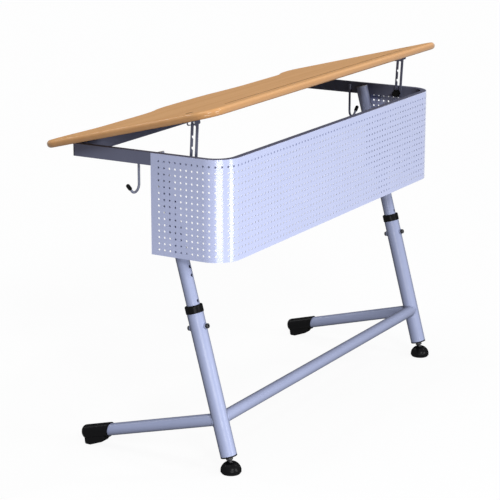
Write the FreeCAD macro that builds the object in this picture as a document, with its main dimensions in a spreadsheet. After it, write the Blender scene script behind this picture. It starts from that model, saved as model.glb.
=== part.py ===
import FreeCAD, Part
import math
import os
import re
import Sketcher
from FreeCAD import Placement, Rotation, Vector

doc = FreeCAD.newDocument("TiltingDesk")
sheet = doc.addObject("Spreadsheet::Sheet", "Dimensions")

# Frame: X runs along the desk, Y from the user's side to the panel side, Z up from the floor.
# Lengths in millimetres, angles in degrees. "back" sizes run from the panel's outer face
# towards the user.
SIZES = [
    # Panel face, measured from the middle of the desk's depth
    ("panel_front", 228.9),
    # Fits between parts
    ("sliding_gap", 0.3),
    ("push_gap", 0.05),
    ("running_gap", 0.08),
    ("edge_tolerance", 0.01),
    # Inclined telescopic legs, measured along the leg from its foot point
    ("leg_half_span", 518.5),
    ("leg_lean", 15),
    ("leg_foot_back", 14.7),
    ("leg_foot_height", 43.4),
    ("outer_leg_diameter", 40),
    ("outer_leg_wall", 2),
    ("outer_leg_length", 358),
    ("inner_leg_diameter", 32),
    ("inner_leg_wall", 2),
    ("inner_leg_bottom", 190),
    ("inner_leg_top", 732),
    ("leg_cap_flange", 1.5),
    ("leg_cap_depth", 14),
    ("level_cut_reach", 40),
    ("level_cut_depth", 80),
    # Lower guide bush on each inner leg
    ("guide_bush_bottom", 186),
    ("guide_bush_top", 216),
    ("guide_bush_lip", 4),
    # Collar on each outer leg
    ("collar_diameter", 43),
    ("collar_bottom", 349.5),
    ("collar_top", 367.5),
    ("collar_edge", 2.5),
    ("collar_sleeve_bottom", 325),
    # Height holes and lock screws
    ("height_hole_diameter", 8.5),
    ("lock_height", 314),
    ("height_step", 62),
    ("height_top_step", 145),
    ("lock_screw_diameter", 8),
    ("lock_head_diameter", 12),
    ("lock_head_length", 6.5),
    ("lock_head_edge", 1.2),
    ("lock_socket_radius", 2.9),
    ("lock_socket_depth", 4),
    ("lock_boss_diameter", 15),
    ("lock_boss_inner_reach", 17),
    ("lock_boss_outer_reach", 22.5),
    # Plug and swivel glide under each outer leg
    ("plug_lip", 3.5),
    ("plug_depth", 18),
    ("stem_diameter", 10),
    ("neck_diameter", 17),
    ("neck_bottom", 12),
    ("neck_edge", 1.5),
    ("throat_diameter", 9),
    ("ball_diameter", 16),
    ("ball_drop", 24.2),
    ("glide_diameter", 50),
    ("glide_sole_diameter", 44),
    ("glide_chamfer_height", 4),
    ("glide_side_height", 10),
    ("glide_height", 28),
    ("glide_dome_radius", 24),
    ("glide_rim_diameter", 20),
    ("glide_mouth_diameter", 17),
    ("socket_mouth_diameter", 14.4),
    # Foot tubes and caps, at right angles to the legs
    ("foot_tube_diameter", 30),
    ("foot_tube_wall", 2),
    ("foot_rise", 89),
    ("foot_tube_length", 386),
    ("foot_cap_diameter", 36),
    ("foot_cap_start", 319),
    ("foot_cap_lower_start", 331),
    ("foot_cap_end", 406),
    ("foot_cap_edge", 11),
    ("foot_pad_width", 27),
    ("foot_pad_drop", 26.5),
    ("foot_pad_heel_drop", 31.5),
    ("foot_pad_start", 333),
    ("foot_pad_flat_start", 350),
    ("foot_pad_end", 401),
    ("foot_pad_edge", 3),
    # Cross tube between the legs
    ("cross_tube_diameter", 30),
    ("cross_tube_wall", 2),
    ("cross_tube_rise", 90),
    ("cross_tube_offset", 3.5),
    # Upper frame: one bent rectangular tube and a cross rail
    ("rail_top", 757),
    ("rail_height", 30),
    ("rail_width", 15),
    ("rail_wall", 1.5),
    ("bow_half_width", 549.5),
    ("bow_depth", 418),
    ("bow_bend_radius", 60),
    ("rail_cap_flange", 3),
    ("rail_cap_insert", 14),
    ("rail_cap_edge", 1.5),
    # Perforated panel
    ("sheet_thickness", 1.5),
    ("panel_top", 757),
    ("panel_bottom", 516),
    ("hole_diameter", 5),
    ("hole_pitch", 15),
    ("hole_margin", 14),
    ("hole_rows", 15),
    ("front_columns", 65),
    ("bend_columns", 7),
    ("wing_columns", 8),
    ("wing_back", 202.5),
    # Bag hooks
    ("hook_wire_diameter", 6),
    ("hook_back", 248),
    ("hook_top", 752),
    ("hook_bend_height", 676.5),
    ("hook_bend_radius", 18),
    ("hook_rise_angle", 45),
    ("hook_tip_run", 24),
    ("hook_tip_diameter", 9.5),
    ("hook_tip_length", 17),
    ("hook_tip_wall", 2),
    # Board and its hinge line
    ("tilt_angle", 14.5),
    ("hinge_back", 422.5),
    ("hinge_height", 753),
    ("board_rise", 4.5),
    ("board_length", 1200),
    ("board_thickness", 18),
    ("board_panel_reach", 436),
    ("board_user_reach", 49.8),
    ("board_panel_corner", 55),
    ("board_user_corner", 30),
    ("bullnose_radius", 8.8),
    ("recess_middle", 338),
    ("recess_half_width", 75),
    ("recess_depth", 48),
    ("recess_outer_width", 152),
    ("recess_inner_width", 207),
    ("cup_hole_diameter", 18),
    ("cup_hole_reach", 557),
    ("cup_hole_line", 347),
    ("groove_line_reach", 384),
    ("groove_half_length", 460),
    ("groove_width", 10),
    ("groove_depth", 5),
    ("groove_edge", 2.5),
    # Butt hinges
    ("hinge_reach", 514),
    ("hinge_length", 40),
    ("hinge_segments", 5),
    ("knuckle_radius", 4.2),
    ("leaf_thickness", 2),
    ("leaf_start", 2.5),
    ("fixed_leaf_height", 24),
    ("moving_leaf_width", 20),
    ("knuckle_side_gap", 0.5),
    ("hinge_pin_diameter", 5),
    # Wood screws
    ("screw_head_radius", 3.6),
    ("screw_diameter", 4),
    ("screw_reach", 12),
    ("hinge_screw_back", 12.5),
    ("hinge_screw_spread", 13),
    # Stays, their brackets and pins
    ("stay_lean", 3),
    ("pin_reach", 338.7),
    ("pin_drop", 7),
    ("pin_diameter", 5),
    ("strip_half_width", 10),
    ("strip_thickness", 2.5),
    ("strip_top", 4.6),
    ("strip_bottom", 104.2),
    ("strip_corner", 4),
    ("strip_slot_width", 7),
    ("strip_slot_top", 10.3),
    ("strip_slot_bottom", 95.8),
    ("bolt_distance", 95.5),
    ("notch_width", 6.6),
    ("notch_reach", 3.9),
    ("notch_first", 34.4),
    ("notch_pitch", 26),
    ("notch_count", 3),
    ("bracket_user_side", 20.5),
    ("bracket_panel_side", 16),
    ("bracket_height", 12),
    ("bracket_corner", 4),
    ("bracket_plate_width", 14),
    ("bracket_screw_spread", 11),
    ("pin_slot_radius", 3.3),
    ("pin_slot_lift", 0.47),
    ("pin_slot_panel_end", 0.2),
    ("pin_slot_user_end", 14.9),
    # Knobs, their bolts and nuts
    ("bolt_diameter", 6),
    ("bolt_nut_reach", 9),
    ("bolt_knob_depth", 9),
    ("knob_diameter", 20),
    ("knob_length", 16),
    ("knob_hub_diameter", 13),
    ("knob_hub_length", 2.5),
    ("knob_edge", 2.5),
    ("knob_flute_radius", 3),
    ("knob_flute_centre", 11.4),
    ("knob_flutes", 6),
    ("nut_flange_diameter", 10),
    ("nut_body_diameter", 9),
    ("nut_body_length", 10),
]
for row, (alias, amount) in enumerate(SIZES, 1):
    sheet.set(f"A{row}", alias)
    sheet.set(f"B{row}", str(amount))
    sheet.setAlias(f"B{row}", alias)
doc.recompute()

NODES = []
RIGHT_AND_LEFT = (("right", ""), ("left", "-"))
RAIL_MIDDLE = "rail_top - rail_height / 2"
RAIL_INNER = "(bow_half_width - rail_width)"
LEG_Y = "panel_front - leg_foot_back"
HINGE_Y = "panel_front - hinge_back"
STRIP_OUTER = "(bow_half_width - rail_width - 2 * sliding_gap - leaf_thickness)"
TAB_OUTER = "(bow_half_width - rail_width - sliding_gap)"
BAY = "hinge_length / hinge_segments"


# Reading the sheet

def bound(text):
    return re.sub(r"[a-z]+(_[a-z]+)+", lambda found: "Dimensions." + found[0], text)


def value(text):
    found = sheet.evalExpression(bound(text))
    return float(getattr(found, "Value", found))


# Drawing and placing

def new_body(name):
    body = doc.addObject("PartDesign::Body", name)
    body.Label = name
    return body


def node(thing, name):
    thing.Label = name
    NODES.append(thing)
    return thing


def place(thing, x="0", y="0", z="0", turn=None, axis=Vector(1, 0, 0)):
    if turn:
        thing.Placement = Placement(Vector(), Rotation(axis, value(turn)))
        thing.setExpression("Placement.Rotation.Angle", bound(turn))
    thing.setExpression("Placement.Base.x", bound(x))
    thing.setExpression("Placement.Base.y", bound(y))
    thing.setExpression("Placement.Base.z", bound(z))
    doc.recompute()
    return thing


def on_leg(thing, sign):
    return place(thing, sign + "leg_half_span", LEG_Y, "leg_foot_height", "leg_lean")


def on_board(thing, x="0"):
    return place(thing, x, HINGE_Y, "hinge_height", "tilt_angle")


def new_sketch(body, plane, offset=None):
    sketch = body.newObject("Sketcher::SketchObject", body.Name + "_sketch")
    face = [part for part in body.Origin.OriginFeatures if part.Role == plane][0]
    sketch.AttachmentSupport = (face, [""])
    sketch.MapMode = "FlatFace"
    if offset:
        sketch.setExpression("AttachmentOffset.Base.z", bound(offset))
    return sketch


def pin_point(sketch, index, place_on_edge, x, y):
    for kind, text in (("DistanceX", x), ("DistanceY", y)):
        fixed = Sketcher.Constraint(kind, -1, 1, index, place_on_edge, value(text))
        row = sketch.addConstraint(fixed)
        sketch.setExpression(f"Constraints[{row}]", bound(text))


def bind(sketch, constraint, text):
    row = sketch.addConstraint(constraint)
    sketch.setExpression(f"Constraints[{row}]", bound(text))


def arc_between(start, end, turn, radius):
    chord = end - start
    radius = max(radius, chord.Length / 2)
    rise = math.sqrt(radius ** 2 - chord.Length ** 2 / 4)
    normal = Vector(-chord.y, chord.x, 0).normalize()
    centre = (start + end) / 2 + normal * (rise if turn == "left" else -rise)
    first, last = (start, end) if turn == "left" else (end, start)
    angles = [math.atan2(point.y - centre.y, point.x - centre.x) for point in (first, last)]
    return Part.ArcOfCircle(Part.Circle(centre, Vector(0, 0, 1), radius), *angles)


def outline(sketch, corners, closed=True):
    """Draw a chain of edges. A corner is (x, y) where a line leaves it, or
    (x, y, turn, rule, text) where an arc does: the rule is radius, centre_x or centre_y."""
    points = [Vector(value(corner[0]), value(corner[1]), 0) for corner in corners]
    count = len(corners) if closed else len(corners) - 1
    heads = []
    for index in range(count):
        corner = corners[index]
        start = points[index]
        end = points[(index + 1) % len(points)]
        if len(corner) == 2:
            edge = sketch.addGeometry(Part.LineSegment(start, end))
            heads.append((edge, 1, 2))
            continue
        turn, rule, text = corner[2:]
        radius = value(text) if rule == "radius" else (end - start).Length / 2
        edge = sketch.addGeometry(arc_between(start, end, turn, radius))
        heads.append((edge, 1, 2) if turn == "left" else (edge, 2, 1))
    for index in range(count if closed else count - 1):
        here = heads[index]
        ahead = heads[(index + 1) % count]
        sketch.addConstraint(Sketcher.Constraint("Coincident", here[0], here[2], ahead[0], ahead[1]))
    for index, (edge, head, tail) in enumerate(heads):
        pin_point(sketch, edge, head, *corners[index][:2])
        if len(corners[index]) == 5:
            shape_arc(sketch, edge, *corners[index][3:])
    if not closed:
        pin_point(sketch, heads[-1][0], heads[-1][2], *corners[-1][:2])
    return sketch


def shape_arc(sketch, edge, rule, text):
    if rule == "radius":
        bind(sketch, Sketcher.Constraint("Radius", edge, value(text)), text)
    elif rule == "centre_x":
        bind(sketch, Sketcher.Constraint("DistanceX", -1, 1, edge, 3, value(text)), text)
    else:
        bind(sketch, Sketcher.Constraint("DistanceY", -1, 1, edge, 3, value(text)), text)


def rectangle(sketch, left, bottom, right, top):
    return outline(sketch, [(left, bottom), (right, bottom), (right, top), (left, top)])


def circle(sketch, x, y, radius):
    spot = Vector(value(x), value(y), 0)
    edge = sketch.addGeometry(Part.Circle(spot, Vector(0, 0, 1), value(radius)))
    pin_point(sketch, edge, 3, x, y)
    bind(sketch, Sketcher.Constraint("Radius", edge, value(radius)), radius)
    return sketch


def extent(feature, sketch, length, centred, backwards):
    feature.Profile = sketch
    feature.setExpression("Length", bound(length))
    feature.SideType = "Symmetric" if centred else "One side"
    feature.Reversed = backwards
    sketch.Visibility = False
    doc.recompute()
    return feature


def pad(body, sketch, length, centred=False, backwards=False):
    feature = body.newObject("PartDesign::Pad", body.Name + "_pad")
    return extent(feature, sketch, length, centred, backwards)


def pocket(body, sketch, length, centred=False, backwards=False):
    doc.recompute()
    before = body.Shape.Volume
    feature = body.newObject("PartDesign::Pocket", body.Name + "_pocket")
    extent(feature, sketch, length, centred, backwards)
    if not body.Shape.Volume < before:
        raise ValueError(body.Name + ": the pocket removes nothing")
    return feature


def revolve(body, corners):
    sketch = outline(new_sketch(body, "XZ_Plane"), corners)
    feature = body.newObject("PartDesign::Revolution", body.Name + "_turned")
    feature.Profile = sketch
    feature.ReferenceAxis = (sketch, ["V_Axis"])
    sketch.Visibility = False
    doc.recompute()
    return feature


def rounded(body, edges, radius):
    base = body.Tip
    feature = body.newObject("PartDesign::Fillet", body.Name + "_round")
    feature.Base = (base, edges)
    feature.setExpression("Radius", bound(radius))
    doc.recompute()
    return feature


def edges_at(body, low, high, text):
    """Names of the edges that lie at one place along the axis of the two box bounds."""
    spot = value(text)
    found = []
    for index, edge in enumerate(body.Tip.Shape.Edges, 1):
        ends = (getattr(edge.BoundBox, low), getattr(edge.BoundBox, high))
        if max(abs(end - spot) for end in ends) < value("edge_tolerance"):
            found.append(f"Edge{index}")
    return found


def end_edges(body, text):
    return edges_at(body, "YMin", "YMax", text)


def level_edges(body, text):
    return edges_at(body, "ZMin", "ZMax", text)


def mirrored(source, name):
    copy = doc.addObject("Part::Mirroring", name)
    copy.Source = source
    copy.Normal = Vector(1, 0, 0)
    doc.recompute()
    return node(copy, name)


def group(things, name):
    whole = doc.addObject("Part::Compound", name)
    whole.Links = things
    doc.recompute()
    return node(whole, name)


def tube_profile(body, plane, x, y, diameter, wall, offset=None):
    sketch = new_sketch(body, plane, offset)
    circle(sketch, x, y, diameter + " / 2")
    circle(sketch, x, y, f"{diameter} / 2 - {wall}")
    return sketch


# Legs and feet

def cope(body, centres):
    """Hollow the tube's ends to sit on the legs."""
    sketch = new_sketch(body, "XY_Plane")
    for x in centres:
        circle(sketch, x, "0", "outer_leg_diameter / 2")
    pocket(body, sketch, "2 * foot_rise + 2 * foot_tube_diameter", centred=True)


def outer_leg(side, sign):
    body = new_body("outer_leg_" + side)
    sketch = tube_profile(body, "XY_Plane", "0", "0", "outer_leg_diameter", "outer_leg_wall")
    pad(body, sketch, "outer_leg_length")
    holes = circle(new_sketch(body, "XZ_Plane"), "0", "lock_height", "lock_screw_diameter / 2")
    pocket(body, holes, "2 * outer_leg_diameter", centred=True)
    return node(on_leg(body, sign), body.Name)


def leg_collar(side, sign):
    body = new_body("leg_collar_" + side)
    bore = "inner_leg_diameter / 2 + sliding_gap"
    sleeve = "outer_leg_diameter / 2 - outer_leg_wall - push_gap"
    seat = "outer_leg_diameter / 2 + push_gap"
    revolve(body, [
        (bore, "collar_sleeve_bottom"),
        (sleeve, "collar_sleeve_bottom"),
        (sleeve, "outer_leg_length"),
        (seat, "outer_leg_length"),
        (seat, "collar_bottom"),
        ("collar_diameter / 2", "collar_bottom"),
        ("collar_diameter / 2", "collar_top - collar_edge", "left", "radius", "collar_edge"),
        ("collar_diameter / 2 - collar_edge", "collar_top"),
        (bore, "collar_top"),
    ])
    return node(on_leg(body, sign), body.Name)


def leg_plug(side, sign):
    body = new_body("leg_plug_" + side)
    insert = "outer_leg_diameter / 2 - outer_leg_wall - push_gap"
    revolve(body, [
        ("stem_diameter / 2", "-plug_lip"),
        ("outer_leg_diameter / 2", "-plug_lip"),
        ("outer_leg_diameter / 2", "0"),
        (insert, "0"),
        (insert, "plug_depth"),
        ("stem_diameter / 2", "plug_depth"),
    ])
    return node(on_leg(body, sign), body.Name)


def glide_stem(side, sign):
    body = new_body("glide_stem_" + side)
    throat = "throat_diameter / 2"
    throat_end = "sqrt((ball_diameter / 2) ^ 2 - (throat_diameter / 2) ^ 2) - ball_drop"
    revolve(body, [
        ("0", "plug_depth"),
        ("0", "-ball_drop - ball_diameter / 2", "left", "centre_y", "-ball_drop"),
        (throat, throat_end),
        (throat, "-neck_bottom"),
        ("neck_diameter / 2 - neck_edge", "-neck_bottom"),
        ("neck_diameter / 2", "neck_edge - neck_bottom"),
        ("neck_diameter / 2", "-plug_lip"),
        ("stem_diameter / 2", "-plug_lip"),
        ("stem_diameter / 2", "plug_depth"),
    ])
    return node(on_leg(body, sign), body.Name)


def glide_pad(side, sign):
    """Domed pad with a ball socket; it swivels about the vertical."""
    body = new_body("glide_pad_" + side)
    middle = "(leg_foot_height - ball_drop * cos(leg_lean))"
    socket = "(ball_diameter / 2 + sliding_gap)"
    mouth = f"{middle} + sqrt({socket} ^ 2 - (socket_mouth_diameter / 2) ^ 2)"
    revolve(body, [
        ("0", "0"),
        ("glide_sole_diameter / 2", "0"),
        ("glide_diameter / 2", "glide_chamfer_height"),
        ("glide_diameter / 2", "glide_side_height", "left", "radius", "glide_dome_radius"),
        ("glide_rim_diameter / 2", "glide_height"),
        ("glide_mouth_diameter / 2", "glide_height"),
        ("socket_mouth_diameter / 2", mouth, "right", "radius", socket),
        ("0", f"{middle} - {socket}"),
    ])
    place(body, sign + "leg_half_span", LEG_Y + " + ball_drop * sin(leg_lean)")
    return node(body, body.Name)


def foot_tube(side, sign):
    body = new_body("foot_tube_" + side)
    sketch = tube_profile(body, "XZ_Plane", "0", "foot_rise", "foot_tube_diameter", "foot_tube_wall")
    pad(body, sketch, "foot_tube_length")
    cope(body, ["0"])
    return node(on_leg(body, sign), body.Name)


def foot_cap(side, sign):
    """Cap over the foot tube's end, with a heel pad cut level with the floor."""
    body = new_body("foot_cap_" + side)
    shell = new_sketch(body, "XZ_Plane", "foot_cap_start")
    circle(shell, "0", "foot_rise", "foot_cap_diameter / 2")
    pad(body, shell, "foot_cap_end - foot_cap_start")
    rounded(body, end_edges(body, "-foot_cap_end"), "foot_cap_edge")
    slant = outline(new_sketch(body, "YZ_Plane"), [
        ("-foot_cap_start", "foot_rise + foot_cap_diameter / 2"),
        ("-foot_cap_lower_start", "foot_rise - foot_cap_diameter / 2"),
        ("-foot_cap_lower_start", "foot_rise - foot_cap_diameter"),
        ("-foot_cap_start + foot_cap_diameter", "foot_rise - foot_cap_diameter"),
        ("-foot_cap_start + foot_cap_diameter", "foot_rise + foot_cap_diameter / 2"),
    ])
    pocket(body, slant, "2 * foot_cap_diameter", centred=True)
    heel = outline(new_sketch(body, "YZ_Plane"), [
        ("-foot_pad_start - foot_cap_diameter / 2", "foot_rise"),
        ("-foot_pad_start - foot_pad_edge", "foot_rise - foot_tube_diameter / 2"),
        ("-foot_pad_flat_start", "foot_rise - foot_pad_drop"),
        ("-foot_pad_end + foot_pad_edge", "foot_rise - foot_pad_heel_drop"),
        ("-foot_pad_end", "foot_rise - foot_pad_drop + foot_pad_edge"),
        ("-foot_pad_end + foot_pad_edge", "foot_rise"),
    ])
    pad(body, heel, "foot_pad_width", centred=True)
    bore = new_sketch(body, "XZ_Plane", "foot_cap_start - foot_cap_diameter")
    circle(bore, "0", "foot_rise", "foot_tube_diameter / 2 + push_gap")
    reach = "foot_tube_length - foot_cap_start + foot_cap_diameter"
    pocket(body, bore, reach, backwards=True)
    floor_cut(body)
    return node(on_leg(body, sign), body.Name)


def floor_cut(body):
    """Cut the pad of a foot cap level with the floor."""
    level = "(-leg_foot_height - ({0}) * sin(leg_lean)) / cos(leg_lean)"
    near = "-foot_cap_end - level_cut_reach"
    far = "level_cut_reach - foot_cap_start"
    wedge = outline(new_sketch(body, "YZ_Plane"), [
        (near, level.format(near)),
        (far, level.format(far)),
        (far, level.format(far) + " - level_cut_depth"),
        (near, level.format(near) + " - level_cut_depth"),
    ])
    pocket(body, wedge, "2 * level_cut_depth", centred=True)


def cross_tube():
    body = new_body("cross_tube")
    sketch = tube_profile(
        body, "YZ_Plane", "cross_tube_offset", "cross_tube_rise",
        "cross_tube_diameter", "cross_tube_wall")
    pad(body, sketch, "2 * leg_half_span", centred=True)
    cope(body, ["leg_half_span", "-leg_half_span"])
    place(body, "0", LEG_Y, "leg_foot_height", "leg_lean")
    return node(body, body.Name)


def inner_leg(side, sign):
    body = new_body("inner_leg_" + side)
    sketch = tube_profile(
        body, "XY_Plane", "0", "0", "inner_leg_diameter", "inner_leg_wall", "inner_leg_bottom")
    pad(body, sketch, "inner_leg_top - inner_leg_bottom")
    holes = new_sketch(body, "XZ_Plane")
    for step in ("0", "height_step", "2 * height_step", "height_top_step"):
        circle(holes, "0", "lock_height + " + step, "height_hole_diameter / 2")
    pocket(body, holes, "2 * inner_leg_diameter", centred=True)
    return node(on_leg(body, sign), body.Name)


def leg_cap(side, sign):
    """Plug in the square-cut upper end, its flange flush with the tube."""
    body = new_body("leg_cap_" + side)
    plug = "inner_leg_diameter / 2 - inner_leg_wall - push_gap"
    revolve(body, [
        ("0", "inner_leg_top - leg_cap_depth"),
        (plug, "inner_leg_top - leg_cap_depth"),
        (plug, "inner_leg_top"),
        ("inner_leg_diameter / 2", "inner_leg_top"),
        ("inner_leg_diameter / 2", "inner_leg_top + leg_cap_flange"),
        ("0", "inner_leg_top + leg_cap_flange"),
    ])
    return node(on_leg(body, sign), body.Name)


def guide_bush(side, sign):
    body = new_body("guide_bush_" + side)
    outer = "outer_leg_diameter / 2 - outer_leg_wall - sliding_gap"
    seat = "inner_leg_diameter / 2 + push_gap"
    revolve(body, [
        ("inner_leg_diameter / 2 - inner_leg_wall", "guide_bush_bottom"),
        (outer, "guide_bush_bottom"),
        (outer, "guide_bush_top"),
        (seat, "guide_bush_top"),
        (seat, "guide_bush_bottom + guide_bush_lip"),
        ("inner_leg_diameter / 2 - inner_leg_wall", "guide_bush_bottom + guide_bush_lip"),
    ])
    return node(on_leg(body, sign), body.Name)


def lock_place(body, sign, turn):
    along = "- lock_height * sin(leg_lean)"
    height = "leg_foot_height + lock_height * cos(leg_lean)"
    return place(body, sign + "leg_half_span", f"{LEG_Y} {along}", height, "leg_lean" + turn)


def lock_boss(name, sign, turn):
    body = new_body(name)
    ring = new_sketch(body, "XY_Plane", "lock_boss_inner_reach")
    circle(ring, "0", "0", "lock_boss_diameter / 2")
    circle(ring, "0", "0", "lock_screw_diameter / 2 + push_gap")
    pad(body, ring, "lock_boss_outer_reach - lock_boss_inner_reach")
    saddle = circle(new_sketch(body, "XZ_Plane"), "0", "0", "outer_leg_diameter / 2")
    pocket(body, saddle, "2 * lock_boss_diameter", centred=True)
    return lock_place(body, sign, turn)


def lock_screw(name, sign, turn):
    body = new_body(name)
    head_top = "lock_boss_outer_reach + lock_head_length"
    revolve(body, [
        ("0", "inner_leg_diameter / 2 + sliding_gap"),
        ("lock_screw_diameter / 2", "inner_leg_diameter / 2 + sliding_gap"),
        ("lock_screw_diameter / 2", "lock_boss_outer_reach"),
        ("lock_head_diameter / 2", "lock_boss_outer_reach"),
        ("lock_head_diameter / 2", head_top + " - lock_head_edge"),
        ("lock_head_diameter / 2 - lock_head_edge", head_top),
        ("0", head_top),
    ])
    corners = []
    for index in range(6):
        angle = f"(360 * {index} / 6)"
        corners.append((f"lock_socket_radius * cos{angle}", f"lock_socket_radius * sin{angle}"))
    socket = outline(new_sketch(body, "XY_Plane", head_top), corners)
    pocket(body, socket, "lock_socket_depth")
    return lock_place(body, sign, turn)


def lock_sets():
    ways = []
    for side, sign in RIGHT_AND_LEFT:
        ways.append((side + "_panel", sign, " - 90"))
        ways.append((side + "_user", sign, " + 90"))
    group([lock_boss("lock_boss_" + way[0], *way[1:]) for way in ways], "lock_bosses")
    group([lock_screw("lock_screw_" + way[0], *way[1:]) for way in ways], "height_lock_screws")


# Upper frame

def bow_strip(inset, end):
    """Plan of the bow: two side runs, two bends and the front run, narrowed by the inset."""
    out = "(bow_half_width - " + inset + ")"
    into = "(bow_half_width - rail_width + " + inset + ")"
    front = "(-sheet_thickness - " + inset + ")"
    inner_front = "(-sheet_thickness - rail_width + " + inset + ")"
    turn_x = "(bow_half_width - bow_bend_radius)"
    turn_y = "(-sheet_thickness - bow_bend_radius)"
    outer_radius = "bow_bend_radius - " + inset
    inner_radius = "bow_bend_radius - rail_width + " + inset
    return [
        ("-" + out, end),
        ("-" + out, turn_y, "right", "radius", outer_radius),
        ("-" + turn_x, front),
        (turn_x, front, "right", "radius", outer_radius),
        (out, turn_y),
        (out, end),
        (into, end),
        (into, turn_y, "left", "radius", inner_radius),
        (turn_x, inner_front),
        ("-" + turn_x, inner_front, "left", "radius", inner_radius),
        ("-" + into, turn_y),
        ("-" + into, end),
    ]


def upper_frame_bow():
    body = new_body("upper_frame_bow")
    strip = outline(new_sketch(body, "XY_Plane"), bow_strip("0", "-bow_depth"))
    pad(body, strip, "rail_height", centred=True)
    hollow = outline(new_sketch(body, "XY_Plane"), bow_strip("rail_wall", "-bow_depth - rail_width"))
    pocket(body, hollow, "rail_height - 2 * rail_wall", centred=True)
    nut_holes = new_sketch(body, "YZ_Plane")
    circle(nut_holes, BOLT_Y, f"{BOLT_Z} - ({RAIL_MIDDLE})", "nut_body_diameter / 2")
    pocket(body, nut_holes, f"2 * ({RAIL_INNER} + rail_wall)", centred=True)
    place(body, "0", "panel_front", RAIL_MIDDLE)
    return node(body, body.Name)


def rear_cross_rail():
    body = new_body("rear_cross_rail")
    section = new_sketch(body, "YZ_Plane")
    rectangle(section, "-bow_depth", "-rail_height / 2", "rail_width - bow_depth", "rail_height / 2")
    rectangle(
        section, "rail_wall - bow_depth", "rail_wall - rail_height / 2",
        "rail_width - rail_wall - bow_depth", "rail_height / 2 - rail_wall")
    pad(body, section, f"2 * {RAIL_INNER}", centred=True)
    place(body, "0", "panel_front", RAIL_MIDDLE)
    return node(body, body.Name)


def rail_cap(side, sign):
    body = new_body("rail_cap_" + side)
    flange = new_sketch(body, "XZ_Plane", "bow_depth")
    rectangle(flange, "-rail_width / 2", "-rail_height / 2", "rail_width / 2", "rail_height / 2")
    pad(body, flange, "rail_cap_flange")
    rounded(body, end_edges(body, "-bow_depth - rail_cap_flange"), "rail_cap_edge")
    plug = new_sketch(body, "XZ_Plane", "bow_depth")
    inset = "rail_wall - push_gap"
    rectangle(
        plug, f"-rail_width / 2 + {inset} + 2 * push_gap", f"-rail_height / 2 + {inset} + 2 * push_gap",
        f"rail_width / 2 - {inset} - 2 * push_gap", f"rail_height / 2 - {inset} - 2 * push_gap")
    pad(body, plug, "rail_cap_insert", backwards=True)
    place(body, sign + "(bow_half_width - rail_width / 2)", "panel_front", RAIL_MIDDLE)
    return node(body, body.Name)


def sheet_part(name, solid):
    made = doc.addObject("Part::Feature", name)
    made.Shape = solid
    made.Placement = Placement(Vector(0, value("panel_front"), 0), Rotation())
    doc.recompute()
    return node(made, name)


def hole_rows():
    first = value("panel_bottom + hole_margin")
    return [first + row * value("hole_pitch") for row in range(int(value("hole_rows")))]


def flat_panel(origin, along, width, spots, out):
    """Flat perforated sheet with its holes at the given distances along it."""
    low = value("panel_bottom")
    high = value("panel_top")
    rim = Part.makePolygon([
        origin + Vector(0, 0, low),
        origin + along * width + Vector(0, 0, low),
        origin + along * width + Vector(0, 0, high),
        origin + Vector(0, 0, high),
        origin + Vector(0, 0, low),
    ])
    wires = [rim]
    for spot in spots:
        for height in hole_rows():
            middle = origin + along * spot + Vector(0, 0, height)
            wires.append(Part.Wire(Part.makeCircle(value("hole_diameter / 2"), middle, out)))
    return Part.Face(wires).extrude(out * value("sheet_thickness"))


def panel_front_sheet():
    pitch = value("hole_pitch")
    columns = int(value("front_columns"))
    width = columns * pitch
    spots = [pitch / 2 + column * pitch for column in range(columns)]
    corner = Vector(-width / 2, -value("sheet_thickness"), 0)
    sheet_part("modesty_panel_front", flat_panel(
        corner, Vector(1, 0, 0), width, spots, Vector(0, 1, 0)))


def panel_wing():
    pitch = value("hole_pitch")
    start = value("sheet_thickness + bow_bend_radius + hole_pitch / 2")
    width = value("wing_back") - start
    spots = [pitch / 2 + column * pitch for column in range(int(value("wing_columns")))]
    corner = Vector(value("bow_half_width"), -start, 0)
    sheet_part("modesty_panel_wing_right", flat_panel(
        corner, Vector(0, -1, 0), width, spots, Vector(1, 0, 0)))


def panel_bend():
    """Bent corner of the sheet, from the front's last column to the wing's first one."""
    inner = value("bow_bend_radius")
    thick = value("sheet_thickness")
    middle = Vector(value("bow_half_width - bow_bend_radius"), -inner - thick, 0)
    edge_x = value("front_columns * hole_pitch / 2")
    edge_y = middle.y - value("hole_pitch / 2")
    low = Vector(0, 0, value("panel_bottom"))
    runs = []
    for radius in (inner, inner + thick):
        quarter = Vector(math.sin(math.pi / 4), math.cos(math.pi / 4), 0) * radius
        front = middle + Vector(0, radius, 0)
        side = middle + Vector(radius, 0, 0)
        runs.append([
            Part.makeLine(Vector(edge_x, front.y, 0), front),
            Part.Arc(front, middle + quarter, side).toShape(),
            Part.makeLine(side, Vector(side.x, edge_y, 0)),
        ])
    ends = [
        Part.makeLine(Vector(edge_x, -thick, 0), Vector(edge_x, 0, 0)),
        Part.makeLine(Vector(middle.x + inner, edge_y, 0), Vector(middle.x + inner + thick, edge_y, 0)),
    ]
    rim = Part.Wire(Part.__sortEdges__(runs[0] + runs[1] + ends))
    solid = Part.Face(rim).extrude(Vector(0, 0, value("panel_top - panel_bottom")))
    solid.translate(low)
    lead = middle.x - edge_x
    arc_radius = inner + thick / 2
    run = lead + arc_radius * math.pi / 2 + value("hole_pitch / 2")
    columns = int(value("bend_columns"))
    step = (run - value("hole_pitch")) / (columns - 1)
    drills = []
    for column in range(columns):
        angle = (value("hole_pitch / 2") + column * step - lead) / arc_radius
        out = Vector(math.sin(angle), math.cos(angle), 0)
        for height in hole_rows():
            start = middle + out * (inner - thick) + Vector(0, 0, height)
            drills.append(Part.makeCylinder(value("hole_diameter / 2"), 3 * thick, start, out))
    sheet_part("modesty_panel_bend_right", solid.cut(drills))


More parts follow.
